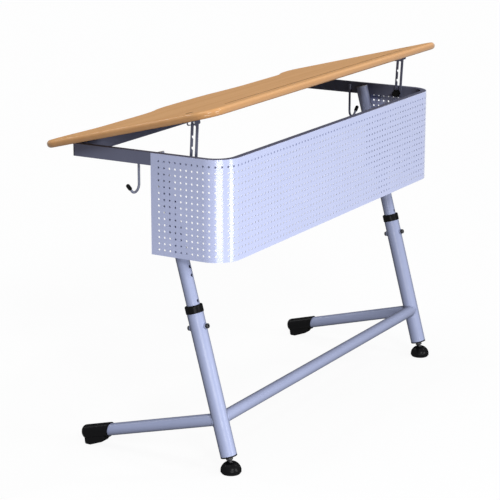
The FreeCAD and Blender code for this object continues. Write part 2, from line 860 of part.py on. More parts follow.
def bag_hook():
    body = new_body("bag_hook_right")
    end_x = "hook_bend_radius * (1 + sin(hook_rise_angle))"
    end_z = "hook_bend_height - hook_bend_radius * cos(hook_rise_angle)"
    path = outline(new_sketch(body, "XZ_Plane"), [
        ("0", "hook_top"),
        ("0", "hook_bend_height", "left", "radius", "hook_bend_radius"),
        (end_x, end_z),
        (f"{end_x} + hook_tip_run * cos(hook_rise_angle)",
         f"{end_z} + hook_tip_run * sin(hook_rise_angle)"),
    ], closed=False)
    profile = new_sketch(body, "XY_Plane", "hook_top")
    circle(profile, "0", "0", "hook_wire_diameter / 2")
    doc.recompute()
    wire = body.newObject("PartDesign::AdditivePipe", "bag_hook_wire")
    wire.Profile = profile
    wire.Spine = (path, ["Edge1", "Edge2", "Edge3"])
    path.Visibility = False
    profile.Visibility = False
    place(body, HOOK_X, "panel_front - hook_back")
    return node(body, body.Name)


def hook_tip():
    body = new_body("hook_tip_right")
    wire = "hook_wire_diameter / 2"
    outer = "hook_tip_diameter / 2"
    inner_end = "hook_tip_length - hook_tip_wall"
    revolve(body, [
        (wire, "0"),
        (outer, "0"),
        (outer, "hook_tip_length - hook_tip_diameter / 2", "left", "radius", outer),
        ("0", "hook_tip_length"),
        ("0", inner_end),
        (wire, inner_end),
    ])
    run = "(hook_tip_run - hook_tip_length + hook_tip_wall)"
    x = f"{HOOK_X} + hook_bend_radius * (1 + sin(hook_rise_angle)) + {run} * cos(hook_rise_angle)"
    z = f"hook_bend_height - hook_bend_radius * cos(hook_rise_angle) + {run} * sin(hook_rise_angle)"
    place(body, x, "panel_front - hook_back", z, "hook_rise_angle", Vector(0, 1, 0))
    return node(body, body.Name)


# Hinges

def hinge_leaf(name, plate, bays, bore):
    """Leaf with a knuckle along the hinge line, cut away in the other leaf's bays."""
    body = new_body(name)
    pad(body, rectangle(new_sketch(body, "YZ_Plane"), *plate), "hinge_length", centred=True)
    barrel = circle(new_sketch(body, "YZ_Plane"), "0", "0", "knuckle_radius")
    pad(body, barrel, "hinge_length", centred=True)
    for bay in bays:
        gap = new_sketch(body, "YZ_Plane", f"{bay} * {BAY}")
        circle(gap, "0", "0", "knuckle_radius + knuckle_side_gap")
        pocket(body, gap, BAY + " + sliding_gap", centred=True)
    hole = circle(new_sketch(body, "YZ_Plane"), "0", "0", bore)
    pocket(body, hole, "2 * hinge_length", centred=True)
    return body


def fixed_leaf(side, sign):
    plate = ("leaf_start", "-fixed_leaf_height", "leaf_start + leaf_thickness", "0")
    body = hinge_leaf("hinge_fixed_leaf_" + side, plate, (-1, 1), "hinge_pin_diameter / 2")
    place(body, sign + "hinge_reach", HINGE_Y, "hinge_height")
    return node(body, body.Name)


def moving_leaf(side, sign):
    plate = ("-moving_leaf_width", "leaf_start", "0", "leaf_start + leaf_thickness")
    bore = "hinge_pin_diameter / 2 + running_gap"
    body = hinge_leaf("hinge_moving_leaf_" + side, plate, (-2, 0, 2), bore)
    spots = [(f"{step} * hinge_screw_spread", "-hinge_screw_back") for step in (-1, 0, 1)]
    for spot in spots:
        countersink(body, spot, "leaf_start")
    on_board(body, sign + "hinge_reach")
    return node(body, body.Name)


def countersink(body, spot, face):
    """Conical seat of one screw, from the plate's lower face."""
    mouth = new_sketch(body, "XY_Plane", face)
    circle(mouth, *spot, "screw_head_radius")
    seat = new_sketch(body, "XY_Plane", face + " + leaf_thickness")
    circle(seat, *spot, "screw_diameter / 2")
    doc.recompute()
    before = body.Shape.Volume
    cone = body.newObject("PartDesign::SubtractiveLoft", body.Name + "_countersink")
    cone.Profile = mouth
    cone.Sections = [seat]
    mouth.Visibility = False
    seat.Visibility = False
    doc.recompute()
    if not body.Shape.Volume < before:
        raise ValueError(body.Name + ": the countersink removes nothing")


def hinge_pin(side, sign):
    body = new_body("hinge_pin_" + side)
    rod = circle(new_sketch(body, "YZ_Plane"), "0", "0", "hinge_pin_diameter / 2")
    pad(body, rod, "hinge_length", centred=True)
    place(body, sign + "hinge_reach", HINGE_Y, "hinge_height")
    return node(body, body.Name)


# Board

def board_outline():
    """Plan of the board, anticlockwise from the left user corner."""
    half = "board_length / 2"
    edge = "-board_user_reach"
    floor = "recess_depth - board_user_reach"
    wall = "recess_depth / 2 - board_user_reach"
    outer = "(recess_outer_width ^ 2 + recess_depth ^ 2) / (4 * recess_depth)"
    inner = "(recess_inner_width ^ 2 + recess_depth ^ 2) / (4 * recess_depth)"
    corners = [
        ("-" + half, edge + " + board_user_corner", "left", "radius", "board_user_corner"),
        ("-" + half + " + board_user_corner", edge),
    ]
    for middle, first, last in (
            ("-recess_middle", ("recess_outer_width", outer), ("recess_inner_width", inner)),
            ("recess_middle", ("recess_inner_width", inner), ("recess_outer_width", outer))):
        near = middle + " - recess_half_width"
        far = middle + " + recess_half_width"
        corners += [
            (f"{near} - {first[0]}", edge, "left", "radius", first[1]),
            (f"{near} - {first[0]} / 2", wall, "right", "radius", first[1]),
            (near, floor),
            (far, floor, "right", "radius", last[1]),
            (f"{far} + {last[0]} / 2", wall, "left", "radius", last[1]),
            (f"{far} + {last[0]}", edge),
        ]
    corners += [
        (half + " - board_user_corner", edge, "left", "radius", "board_user_corner"),
        (half, edge + " + board_user_corner"),
        (half, "board_panel_reach - board_panel_corner", "left", "radius", "board_panel_corner"),
        (half + " - board_panel_corner", "board_panel_reach"),
        ("-" + half + " + board_panel_corner", "board_panel_reach", "left", "radius",
         "board_panel_corner"),
        ("-" + half, "board_panel_reach - board_panel_corner"),
    ]
    return corners


def tabletop():
    body = new_body("tabletop")
    pad(body, outline(new_sketch(body, "XY_Plane", "board_rise"), board_outline()), "board_thickness")
    faces = level_edges(body, "board_rise") + level_edges(body, "board_rise + board_thickness")
    rounded(body, faces, "bullnose_radius")
    top = "board_rise + board_thickness"
    cups = new_sketch(body, "XY_Plane", top)
    for x in ("cup_hole_reach", "-cup_hole_reach"):
        circle(cups, x, "cup_hole_line", "cup_hole_diameter / 2")
    pocket(body, cups, "2 * board_thickness")
    lower = "groove_line_reach - groove_width / 2"
    upper = "groove_line_reach + groove_width / 2"
    groove = outline(new_sketch(body, "XY_Plane", top), [
        ("-groove_half_length", lower),
        ("groove_half_length", lower, "left", "centre_x", "groove_half_length"),
        ("groove_half_length", upper),
        ("-groove_half_length", upper, "left", "centre_x", "-groove_half_length"),
    ])
    pocket(body, groove, "groove_depth")
    rounded(body, level_edges(body, top + " - groove_depth"), "groove_edge")
    seats = new_sketch(body, "XY_Plane", "board_rise")
    for sign in ("", "-"):
        rectangle(
            seats, f"{sign}({TAB_OUTER} - leaf_thickness - push_gap)",
            "pin_reach - bracket_user_side - push_gap",
            f"{sign}({TAB_OUTER} + bracket_plate_width + push_gap)",
            "pin_reach + bracket_panel_side + push_gap")
    pocket(body, seats, "leaf_thickness", backwards=True)
    pilots = new_sketch(body, "XY_Plane", "board_rise")
    for x, y, face in SCREW_SPOTS:
        circle(pilots, x, y, "screw_diameter / 2")
    pocket(body, pilots, "screw_reach", backwards=True)
    on_board(body)
    return node(body, body.Name)


def wood_screw(name, spot):
    body = new_body(name)
    x, y, face = spot
    revolve(body, [
        ("0", face),
        ("screw_head_radius", face),
        ("screw_diameter / 2", face + " + leaf_thickness"),
        ("screw_diameter / 2", "board_rise + screw_reach - screw_diameter / 2"),
        ("0", "board_rise + screw_reach"),
    ])
    along = f"{HINGE_Y} + ({y}) * cos(tilt_angle)"
    return place(body, x, along, f"hinge_height + ({y}) * sin(tilt_angle)", "tilt_angle")


def board_screws():
    screws = [wood_screw(f"wood_screw_{index}", spot) for index, spot in enumerate(SCREW_SPOTS)]
    group(screws, "board_screws")


# Stays

def stay_bracket():
    """Angle bracket: a plate let into the board, and an upright tab with the pin's slot."""
    body = new_body("stay_bracket_right")
    low = "board_rise - bracket_height"
    high = "board_rise + leaf_thickness"
    user = "(pin_reach - bracket_user_side)"
    panel = "(pin_reach + bracket_panel_side)"
    tab = outline(new_sketch(body, "YZ_Plane", TAB_OUTER), [
        (user, high),
        (user, low + " + bracket_corner", "left", "radius", "bracket_corner"),
        (user + " + bracket_corner", low),
        (panel + " - bracket_corner", low, "left", "radius", "bracket_corner"),
        (panel, low + " + bracket_corner"),
        (panel, high),
    ])
    pad(body, tab, "leaf_thickness", backwards=True)
    plate = new_sketch(body, "YZ_Plane", TAB_OUTER)
    rectangle(plate, user, "board_rise", panel, high)
    pad(body, plate, "bracket_plate_width")
    middle = "(board_rise - pin_drop + pin_slot_lift)"
    slot = outline(new_sketch(body, "YZ_Plane", TAB_OUTER), [
        ("pin_reach - pin_slot_user_end", middle + " - pin_slot_radius"),
        ("pin_reach + pin_slot_panel_end", middle + " - pin_slot_radius",
         "left", "centre_x", "pin_reach + pin_slot_panel_end"),
        ("pin_reach + pin_slot_panel_end", middle + " + pin_slot_radius"),
        ("pin_reach - pin_slot_user_end", middle + " + pin_slot_radius",
         "left", "centre_x", "pin_reach - pin_slot_user_end"),
    ])
    pocket(body, slot, "4 * leaf_thickness", centred=True)
    for step in (-1, 1):
        countersink(body, bracket_spot("", step), "board_rise")
    on_board(body)
    return node(body, body.Name)


def stay_strip():
    """Slotted strip with three notches on the user's side; its origin is the pin's centre."""
    body = new_body("stay_strip_right")
    half = "strip_half_width"
    high = "strip_top"
    blank = outline(new_sketch(body, "YZ_Plane", STRIP_OUTER), [
        ("strip_corner - " + half, "-strip_bottom"),
        (half + " - strip_corner", "-strip_bottom", "left", "radius", "strip_corner"),
        (half, "strip_corner - strip_bottom"),
        (half, high + " - strip_corner", "left", "radius", "strip_corner"),
        (half + " - strip_corner", high),
        ("strip_corner - " + half, high, "left", "radius", "strip_corner"),
        ("-" + half, high + " - strip_corner"),
        ("-" + half, "strip_corner - strip_bottom", "left", "radius", "strip_corner"),
    ])
    pad(body, blank, "strip_thickness", backwards=True)
    side = "strip_slot_width / 2"
    slot = outline(new_sketch(body, "YZ_Plane", STRIP_OUTER), [
        ("-" + side, "-strip_slot_bottom", "left", "centre_y", "-strip_slot_bottom"),
        (side, "-strip_slot_bottom"),
        (side, "-strip_slot_top", "left", "centre_y", "-strip_slot_top"),
        ("-" + side, "-strip_slot_top"),
    ])
    pocket(body, slot, "4 * strip_thickness", centred=True)
    for index in range(int(value("notch_count"))):
        pocket(body, notch(body, index), "4 * strip_thickness", centred=True)
    hole = circle(new_sketch(body, "YZ_Plane", STRIP_OUTER), "0", "0", "pin_diameter / 2")
    pocket(body, hole, "4 * strip_thickness", centred=True)
    place(body, "0", PIN_Y, PIN_Z, "-stay_lean")
    return node(body, body.Name)


def notch(body, index):
    """Round-ended side slot that rises from the main slot at half a right angle."""
    root = f"(-notch_first - {index} * notch_pitch - notch_reach)"
    half = "notch_width / 2 * sin(45)"
    return outline(new_sketch(body, "YZ_Plane", STRIP_OUTER), [
        ("-" + half, f"{root} - {half}"),
        (half, f"{root} + {half}"),
        (f"{half} - notch_reach", f"{root} + {half} + notch_reach", "left", "centre_x", "-notch_reach"),
        (f"-{half} - notch_reach", f"{root} - {half} + notch_reach"),
    ])


def stay_pin():
    body = new_body("stay_pin_right")
    start = f"({STRIP_OUTER} - strip_thickness)"
    rod = circle(new_sketch(body, "YZ_Plane", start), "0", "0", "pin_diameter / 2")
    pad(body, rod, f"{TAB_OUTER} - {start}")
    place(body, "0", PIN_Y, PIN_Z, "-stay_lean")
    return node(body, body.Name)


def at_bolt(body, x, turn):
    return place(body, x, "panel_front + " + BOLT_Y, BOLT_Z, turn, Vector(0, 1, 0))


def stay_knob(side, sign, turn):
    body = new_body("stay_knob_" + side)
    radius = "knob_diameter / 2"
    revolve(body, [
        ("bolt_diameter / 2", "0"),
        ("knob_hub_diameter / 2", "0"),
        ("knob_hub_diameter / 2", "knob_hub_length"),
        (radius, "knob_hub_length"),
        (radius, "knob_length - knob_edge", "left", "radius", "knob_edge"),
        (radius + " - knob_edge", "knob_length"),
        ("0", "knob_length"),
        ("0", "bolt_knob_depth"),
        ("bolt_diameter / 2", "bolt_knob_depth"),
    ])
    flutes = new_sketch(body, "XY_Plane", "knob_hub_length")
    for index in range(int(value("knob_flutes"))):
        angle = f"(360 * {index} / knob_flutes)"
        spot = (f"knob_flute_centre * cos{angle}", f"knob_flute_centre * sin{angle}")
        circle(flutes, *spot, "knob_flute_radius")
    pocket(body, flutes, "knob_length", backwards=True)
    at_bolt(body, f"{sign}({STRIP_OUTER} - strip_thickness - sliding_gap)", turn)
    return node(body, body.Name)


def knob_bolt(side, sign, turn):
    body = new_body("knob_bolt_" + side)
    strip = "(strip_thickness + 3 * sliding_gap + leaf_thickness)"
    rod = new_sketch(body, "XY_Plane", f"-{strip} - bolt_nut_reach")
    circle(rod, "0", "0", "bolt_diameter / 2")
    pad(body, rod, f"{strip} + bolt_nut_reach + bolt_knob_depth")
    at_bolt(body, f"{sign}({STRIP_OUTER} - strip_thickness - sliding_gap)", turn)
    return node(body, body.Name)


def stay_nut(side, sign, turn):
    """Flanged nut in the rail's inner wall; its flange keeps the strip clear of the rail."""
    body = new_body("stay_nut_" + side)
    bore = "bolt_diameter / 2 + running_gap"
    flange = "(sliding_gap + leaf_thickness)"
    revolve(body, [
        (bore, "-nut_body_length"),
        ("nut_body_diameter / 2", "-nut_body_length"),
        ("nut_body_diameter / 2", "0"),
        ("nut_flange_diameter / 2", "0"),
        ("nut_flange_diameter / 2", flange),
        (bore, flange),
    ])
    at_bolt(body, sign + RAIL_INNER, turn)
    return node(body, body.Name)


def bracket_spot(sign, step):
    x = f"{sign}({TAB_OUTER} + bracket_plate_width / 2)"
    return (x, f"pin_reach + {step} * bracket_screw_spread")


# Points shared by several parts
PIN_RISE = "(board_rise - pin_drop)"
PIN_Y = f"{HINGE_Y} + pin_reach * cos(tilt_angle) - {PIN_RISE} * sin(tilt_angle)"
PIN_Z = f"hinge_height + pin_reach * sin(tilt_angle) + {PIN_RISE} * cos(tilt_angle)"
BOLT_Y = f"({PIN_Y} - panel_front - bolt_distance * sin(stay_lean))"
BOLT_Z = f"({PIN_Z} - bolt_distance * cos(stay_lean))"
HOOK_X = f"{RAIL_INNER} - hook_wire_diameter / 2"
SCREW_SPOTS = []
for mirror_sign in ("", "-"):
    for place_step in (-1, 0, 1):
        screw_x = f"{mirror_sign}hinge_reach + {place_step} * hinge_screw_spread"
        SCREW_SPOTS.append((screw_x, "-hinge_screw_back", "leaf_start"))
    for place_step in (-1, 1):
        SCREW_SPOTS.append((*bracket_spot(mirror_sign, place_step), "board_rise"))

# Sub-parts on both sides
for part_side, part_sign in RIGHT_AND_LEFT:
    outer_leg(part_side, part_sign)
    leg_collar(part_side, part_sign)
    leg_plug(part_side, part_sign)
    glide_stem(part_side, part_sign)
    glide_pad(part_side, part_sign)
    foot_tube(part_side, part_sign)
    foot_cap(part_side, part_sign)
    inner_leg(part_side, part_sign)
    leg_cap(part_side, part_sign)
    guide_bush(part_side, part_sign)
    rail_cap(part_side, part_sign)
    fixed_leaf(part_side, part_sign)
    moving_leaf(part_side, part_sign)
    hinge_pin(part_side, part_sign)
    inward = "-90" if part_side == "right" else "90"
    stay_knob(part_side, part_sign, inward)
    knob_bolt(part_side, part_sign, inward)
    stay_nut(part_side, part_sign, inward)

# Single sub-parts and groups
cross_tube()
lock_sets()
upper_frame_bow()
rear_cross_rail()
panel_front_sheet()
tabletop()
board_screws()

# Sub-parts mirrored to the left side
panel_bend()
panel_wing()
for part in (bag_hook(), hook_tip(), stay_bracket(), stay_strip(), stay_pin()):
    mirrored(part, part.Label.replace("right", "left"))
for piece in ("bend", "wing"):
    source = doc.getObject(f"modesty_panel_{piece}_right")
    mirrored(source, f"modesty_panel_{piece}_left")

# Checks and export
doc.recompute()
for thing in doc.Objects:
    if "Invalid" in thing.State or "Error" in thing.State:
        raise ValueError(thing.Name + " is not computed")
os.makedirs("parts", exist_ok=True)
for part in NODES:
    if part.Shape.isNull() or not part.Shape.isValid():
        raise ValueError(part.Label + " has no valid shape")
    part.Shape.exportStep(f"parts/{part.Label}.step")
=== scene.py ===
import math

import bmesh
import bpy
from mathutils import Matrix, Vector


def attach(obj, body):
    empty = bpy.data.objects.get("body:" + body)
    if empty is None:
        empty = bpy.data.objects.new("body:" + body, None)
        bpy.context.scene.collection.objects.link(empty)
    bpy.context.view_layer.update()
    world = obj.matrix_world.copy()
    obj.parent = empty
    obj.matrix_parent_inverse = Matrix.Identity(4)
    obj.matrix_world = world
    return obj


# Lengths in metres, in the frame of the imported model: X along the desk, +Y the panel side.
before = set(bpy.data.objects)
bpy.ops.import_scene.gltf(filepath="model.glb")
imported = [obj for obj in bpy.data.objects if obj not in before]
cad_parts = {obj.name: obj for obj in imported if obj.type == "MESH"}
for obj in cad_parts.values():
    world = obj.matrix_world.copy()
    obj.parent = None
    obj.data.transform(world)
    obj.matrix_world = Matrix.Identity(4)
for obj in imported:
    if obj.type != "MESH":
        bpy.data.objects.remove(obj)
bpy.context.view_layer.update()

# The sides of the desk, with the sign of their X
SIDES = (("right", 1), ("left", -1))

# Legs, and the tubes welded to them; a rise is measured up the leg's axis from its foot
LEG_LEAN = math.radians(15)
LEG_AXIS = Vector((0, -math.sin(LEG_LEAN), math.cos(LEG_LEAN)))
LEG_X = 0.5185
LEG_FOOT = Vector((0, 0.2142, 0.0434))
LEG_RADIUS = 0.020
TUBE_RADIUS = 0.015
FOOT_TUBE_AXIS = Vector((0, -math.cos(LEG_LEAN), -math.sin(LEG_LEAN)))
FOOT_TUBE_RISE = 0.089
CROSS_TUBE_RISE = 0.090
CROSS_TUBE_OFFSET = 0.0035

# Rails, and what is welded to their inner faces
RAIL_BOTTOM = 0.727
RAIL_TOP = 0.757
RAIL_INNER_X = 0.5345
CROSS_RAIL_FRONT_Y = -0.1741
HOOK_Y = -0.0191

# Weld beads: an inset is measured from the rail's inner face, an offset from the joint's middle
BEAD_RADIUS = 0.0019
FINE_BEAD_RADIUS = 0.0012
BEAD_SEGMENTS = 8
RIPPLE_PITCH = 0.0022
RIPPLE_DEPTH = 0.10
RIPPLE_STEPS = 5
LEAST_RIPPLES = 3
FIRST_END_STEP = 0.3
MEASURING_STEPS = 64
WELD_MARGIN = 0.001
LEG_WELD_TOP = 0.748
LEG_WELD_INSET = 0.0016
LEG_WELD_OFFSET = 0.0062
HOOK_WELD_TOP = 0.750
HOOK_WELD_INSET = 0.0012
HOOK_WELD_OFFSET = 0.0026

# Board: places on it are X, along the board from the hinge axis, and up from that axis
BOARD_TILT = math.radians(14.5)
HINGE_PLACE = (0, -0.1936, 0.753)
HOLE_PLACE = (0.557, 0.347)
HOLE_RADIUS = 0.0093
GROOVE_LINE = 0.384
GROOVE_HALF_WIDTH = 0.0053
GROOVE_REACH = 0.466
GROOVE_LEVEL = 0.0223

# Colours, painted shade and shine of the board
BEECH_LIGHT = (0.742, 0.405, 0.165)
BEECH_MIDDLE = (0.690, 0.362, 0.139)
BEECH_DARK = (0.560, 0.262, 0.085)
# Painted shade on the board's edge, strongest from the middle of the edge down to the underside
EDGE_SHADE = (0.270, 0.120, 0.038)
EDGE_SHADE_SHARE = 0.42
# Painted shade: darker in the pencil groove, near black on the walls of the accessory holes
GROOVE_SHADE = (0.150, 0.080, 0.032)
GROOVE_SHADE_SHARE = 0.7
HOLE_SHADE = (0.030, 0.019, 0.011)
BOARD_TOP_COAT = 0.10
BOARD_EDGE_COAT = 0.80

# Round pieces: how far their facing counts as outline, and what changes there: painted shade in the
# colour and a thinner coat
OUTLINE_START = 0.30
OUTLINE_FULL = 0.80
OUTLINE_PAINTED_SHADE = (0.120, 0.125, 0.165)
OUTLINE_COAT_SHARE = 0.1

# Roughness of the coats that give the shine
LACQUER_ROUGHNESS = 0.20
MOULDED_ROUGHNESS = 0.28

# Camera, as the photograph was taken
CAMERA_PLACE = Vector((4.1164, 2.3758, 1.6544))
CAMERA_AXIS = Vector((-0.8346, -0.4879, -0.2558))
CAMERA_LENS = 136.4
CAMERA_SENSOR = 36
CAMERA_NEAR = 0.1
CAMERA_FAR = 100

# Surroundings: one colour for the light they give, white where they are seen
WHITE = (1, 1, 1, 1)
AMBIENT = 0.24
AMBIENT_COLOUR = (0.93, 0.95, 1, 1)
FLOOR_REACH = 30.0
FLOOR_SEEN = (0.90, 0.90, 0.90, 1)
FLOOR_SEEN_SHARE = 0.08
FLOOR_BOUNCE = (0.05, 0.05, 0.055, 1)

# Suns: name, azimuth, elevation and angular width in degrees, and strength
SUN_DISTANCE = 6.0
SUNS = (
    ("sun_side", 42, 32, 14, 1.20),
    ("sun_front", -2, 20, 14, 1.15),
    ("sun_top", 150, 76, 40, 0.80),
    ("sun_corner", 312, 48, 6, 0.35),
    ("sun_edge", 175, 42, 8, 0.25),
)

# Upright lamps that the panel's near bend reflects: name, azimuth in degrees, width and power
BEND_PLAN = (0.53, 0.21)
BOX_DISTANCE = 1.75
BOX_LEVEL = 0.22
BOX_HEIGHT = 0.42
SOFT_BOXES = (
    ("box_side", 48, 0.90, 16.0),
    ("box_front", -6, 0.36, 6.8),
)


# Shader nodes

# Sockets of a Mix node set to colours, which share their names with others
MIX_FACTOR, MIX_FIRST, MIX_SECOND, MIX_RESULT = 0, 6, 7, 2


def fill(socket, given):
    """Links another node's output to the socket, or sets its value."""
    if isinstance(given, bpy.types.NodeSocket):
        socket.id_data.links.new(given, socket)
    else:
        socket.default_value = given


def feed(node, **sockets):
    """Fills the named sockets; an underscore stands for a space."""
    for name, given in sockets.items():
        fill(node.inputs[name.replace("_", " ")], given)


def add_node(tree, kind, settings=None, **sockets):
    node = tree.nodes.new(kind)
    for name, setting in (settings or {}).items():
        setattr(node, name, setting)
    feed(node, **sockets)
    return node


def new_material(name):
    material = bpy.data.materials.new(name)
    material.use_nodes = True
    tree = material.node_tree
    return material, tree, tree.nodes["Principled BSDF"]


def place_in_object(tree, stretch=(1, 1, 1)):
    """The point on the piece in metres, stretched."""
    point = add_node(tree, "ShaderNodeTexCoord").outputs["Object"]
    return add_node(tree, "ShaderNodeMapping", Vector=point, Scale=stretch).outputs["Vector"]


def noise(tree, place, scale, detail=2.0, roughness=0.5, distortion=0.0):
    node = add_node(
        tree, "ShaderNodeTexNoise", Vector=place, Scale=scale, Detail=detail,
        Roughness=roughness, Distortion=distortion,
    )
    return node.outputs["Fac"]


def grain_noise(tree, along, across, **settings):
    """Noise drawn out along X, with that many features in a metre along and across."""
    return noise(tree, place_in_object(tree, (along, across, across)), scale=1.0, **settings)


def spread(tree, source, low, high, start=0.3, full=0.7):
    """Low where the source is at start, high where it is at full."""
    node = add_node(
        tree, "ShaderNodeMapRange", Value=source, From_Min=start, From_Max=full,
        To_Min=low, To_Max=high,
    )
    return node.outputs["Result"]


def calculate(tree, operation, first, second=0.0):
    """The result of a Math node."""
    node = add_node(tree, "ShaderNodeMath", {"operation": operation})
    for socket, given in zip(node.inputs, (first, second)):
        fill(socket, given)
    return node.outputs["Value"]


def compare_vectors(tree, operation, first, second):
    """The distance or dot product of two vectors."""
    node = add_node(tree, "ShaderNodeVectorMath", {"operation": operation})
    for socket, given in zip(node.inputs, (first, second)):
        fill(socket, given)
    return node.outputs["Value"]


def blend_colours(tree, factor, first, second):
    """The first colour at factor 0, the second at 1."""
    node = add_node(tree, "ShaderNodeMix", {"data_type": "RGBA"})
    fill(node.inputs[MIX_FACTOR], factor)
    for index, colour in ((MIX_FIRST, first), (MIX_SECOND, second)):
        fill(node.inputs[index], (*colour, 1) if isinstance(colour, tuple) else colour)
    return node.outputs[MIX_RESULT]


def tint(tree, tone, colour, source, share=1.0, start=0.3, full=0.7):
    """The tone with some of the colour in it, up to that share where the source is at full."""
    return blend_colours(tree, spread(tree, source, 0.0, share, start, full), tone, colour)


def bump(tree, height, depth, strength, below=None):
    node = add_node(tree, "ShaderNodeBump", Height=height, Distance=depth, Strength=strength)
    if below:
        feed(node, Normal=below)
    return node.outputs["Normal"]


def mix_shaders(tree, factor, first, second):
    """The first shader at factor 0, the second at 1."""
    node = add_node(tree, "ShaderNodeMixShader")
    for socket, given in zip(node.inputs, (factor, first, second)):
        fill(socket, given)
    return node.outputs["Shader"]


# Finishes

def glaze(shader, coat, roughness):
    """All the shine in a thin coat, so that steep edges don't turn white."""
    feed(shader, Specular_IOR_Level=0.0, Coat_Roughness=roughness, Coat_Weight=coat)


def outline_of(tree, low, high):
    """Low where a round piece faces the viewer, high along its outline."""
    facing = add_node(tree, "ShaderNodeLayerWeight", Blend=0.5).outputs["Facing"]
    return spread(tree, facing, low, high, OUTLINE_START, OUTLINE_FULL)


def round_coat(tree, coat):
    """A coat that loses most of its weight along the outline."""
    return outline_of(tree, coat, OUTLINE_COAT_SHARE * coat)


def powder_coat(name, colour, deeper, roughness, coat, shade=0.0, flat=False):
    """Satin powder coat: fine orange peel, faint clouding and a little uneven sheen, with painted
    shade along the outline where a share of it is given.
    """
    material, tree, shader = new_material(name)
    place = place_in_object(tree)
    clouds = noise(tree, place, scale=9.0, detail=3.0)
    grain = noise(tree, place, scale=1400.0, detail=1.0)
    tone = tint(tree, colour, deeper, clouds)
    tone = tint(tree, tone, deeper, grain, share=0.10)
    # Painted shade: round pieces darken along their outline, by the share given as shade
    if shade:
        tone = blend_colours(tree, outline_of(tree, 0.0, shade), tone, OUTLINE_PAINTED_SHADE)
    smears = noise(tree, place, scale=55.0)
    sheen = spread(tree, smears, low=roughness - 0.03, high=roughness + 0.03)
    peel = bump(tree, noise(tree, place, scale=520.0), depth=0.00008, strength=0.35)
    feed(shader, Base_Color=tone, Roughness=sheen, Normal=peel)
    glaze(shader, coat if flat else round_coat(tree, coat), LACQUER_ROUGHNESS)
    return material


def painted_shade_masks(tree):
    """Masks for painted shade: 1 on the walls of the accessory holes, and 1 inside the pencil
    groove.
    """
    point = add_node(tree, "ShaderNodeTexCoord").outputs["Object"]
    # This kind of mapping takes the board's place and tilt off again
    on_board = add_node(
        tree, "ShaderNodeMapping", {"vector_type": "TEXTURE"}, Vector=point,
        Location=HINGE_PLACE, Rotation=(BOARD_TILT, 0, 0),
    ).outputs["Vector"]
    own = add_node(tree, "ShaderNodeSeparateXYZ", Vector=on_board).outputs
    reach = calculate(tree, "ABSOLUTE", own["X"])
    plan = add_node(tree, "ShaderNodeCombineXYZ", X=reach, Y=own["Y"]).outputs["Vector"]
    from_hole = compare_vectors(tree, "DISTANCE", plan, (*HOLE_PLACE, 0))
    holes = calculate(tree, "LESS_THAN", from_hole, HOLE_RADIUS)
    from_line = calculate(tree, "ABSOLUTE", calculate(tree, "SUBTRACT", own["Y"], GROOVE_LINE))
    groove = calculate(tree, "LESS_THAN", from_line, GROOVE_HALF_WIDTH)
    for measure, limit in ((reach, GROOVE_REACH), (own["Z"], GROOVE_LEVEL)):
        groove = calculate(tree, "MULTIPLY", groove, calculate(tree, "LESS_THAN", measure, limit))
    return holes, groove


def board_slope(tree):
    """1 on the board's top, 0 on the middle of its edge and -1 on its underside."""
    normal = add_node(tree, "ShaderNodeTexCoord").outputs["Normal"]
    up = (0, -math.sin(BOARD_TILT), math.cos(BOARD_TILT))
    return compare_vectors(tree, "DOT_PRODUCT", normal, up)


def beech_tone(tree, bands, fibres):
    """Long soft figure, darker bands and fibres, and short dark flecks."""
    figure = grain_noise(tree, 1.1, 16, detail=4.0, roughness=0.55, distortion=0.6)
    flecks = grain_noise(tree, 190, 2100, detail=1.0)
    tone = tint(tree, BEECH_LIGHT, BEECH_MIDDLE, figure)
    tone = tint(tree, tone, BEECH_DARK, bands, share=0.30, start=0.42, full=0.75)
    tone = tint(tree, tone, BEECH_DARK, fibres, share=0.16)
    return tint(tree, tone, BEECH_DARK, flecks, share=0.42, start=0.63, full=0.74)


def beech(name):
    """Lacquered beech-look board with its grain along X, glossier edges, painted shade darkening
    its edges as they turn down, and painted shade in its groove and holes.
    """
    material, tree, shader = new_material(name)
    bands = grain_noise(tree, 2.2, 95, detail=3.0, roughness=0.6, distortion=0.3)
    fibres = grain_noise(tree, 26, 1500)
    slope = board_slope(tree)
    holes, groove = painted_shade_masks(tree)
    # Painted shade: the edge darkens as its surface turns down towards the underside
    edge = spread(tree, slope, EDGE_SHADE_SHARE, 0.0, start=0.10, full=0.60)
    tone = blend_colours(tree, edge, beech_tone(tree, bands, fibres), EDGE_SHADE)
    # Painted shade inside the pencil groove, and near-black painted shade on the hole walls
    inside = calculate(tree, "MULTIPLY", groove, GROOVE_SHADE_SHARE)
    tone = blend_colours(tree, inside, tone, GROOVE_SHADE)
    tone = blend_colours(tree, holes, tone, HOLE_SHADE)
    sheen = spread(tree, fibres, low=0.34, high=0.44)
    raised = bump(tree, fibres, depth=0.00006, strength=0.30)
    waves = bump(tree, bands, depth=0.0002, strength=0.12, below=raised)
    feed(shader, Base_Color=tone, Roughness=sheen, Normal=waves)
    flatness = calculate(tree, "ABSOLUTE", slope)
    coat = spread(tree, flatness, BOARD_EDGE_COAT, BOARD_TOP_COAT, start=0.60, full=0.96)
    glaze(shader, coat, LACQUER_ROUGHNESS)
    return material


def moulded(name, colour, paler, roughness, coat, grain_scale=1500.0):
    """Moulded plastic or rubber with a fine cast grain and faint scuffs."""
    material, tree, shader = new_material(name)
    place = place_in_object(tree)
    scuffs = noise(tree, place, scale=70.0, detail=5.0, roughness=0.65)
    tone = tint(tree, colour, paler, scuffs, start=0.45, full=0.8)
    sheen = spread(tree, scuffs, low=roughness - 0.05, high=roughness + 0.06)
    grain = bump(tree, noise(tree, place, grain_scale), depth=0.00012, strength=0.35)
    feed(shader, Base_Color=tone, Roughness=sheen, Normal=grain)
    glaze(shader, round_coat(tree, coat), MOULDED_ROUGHNESS)
    return material


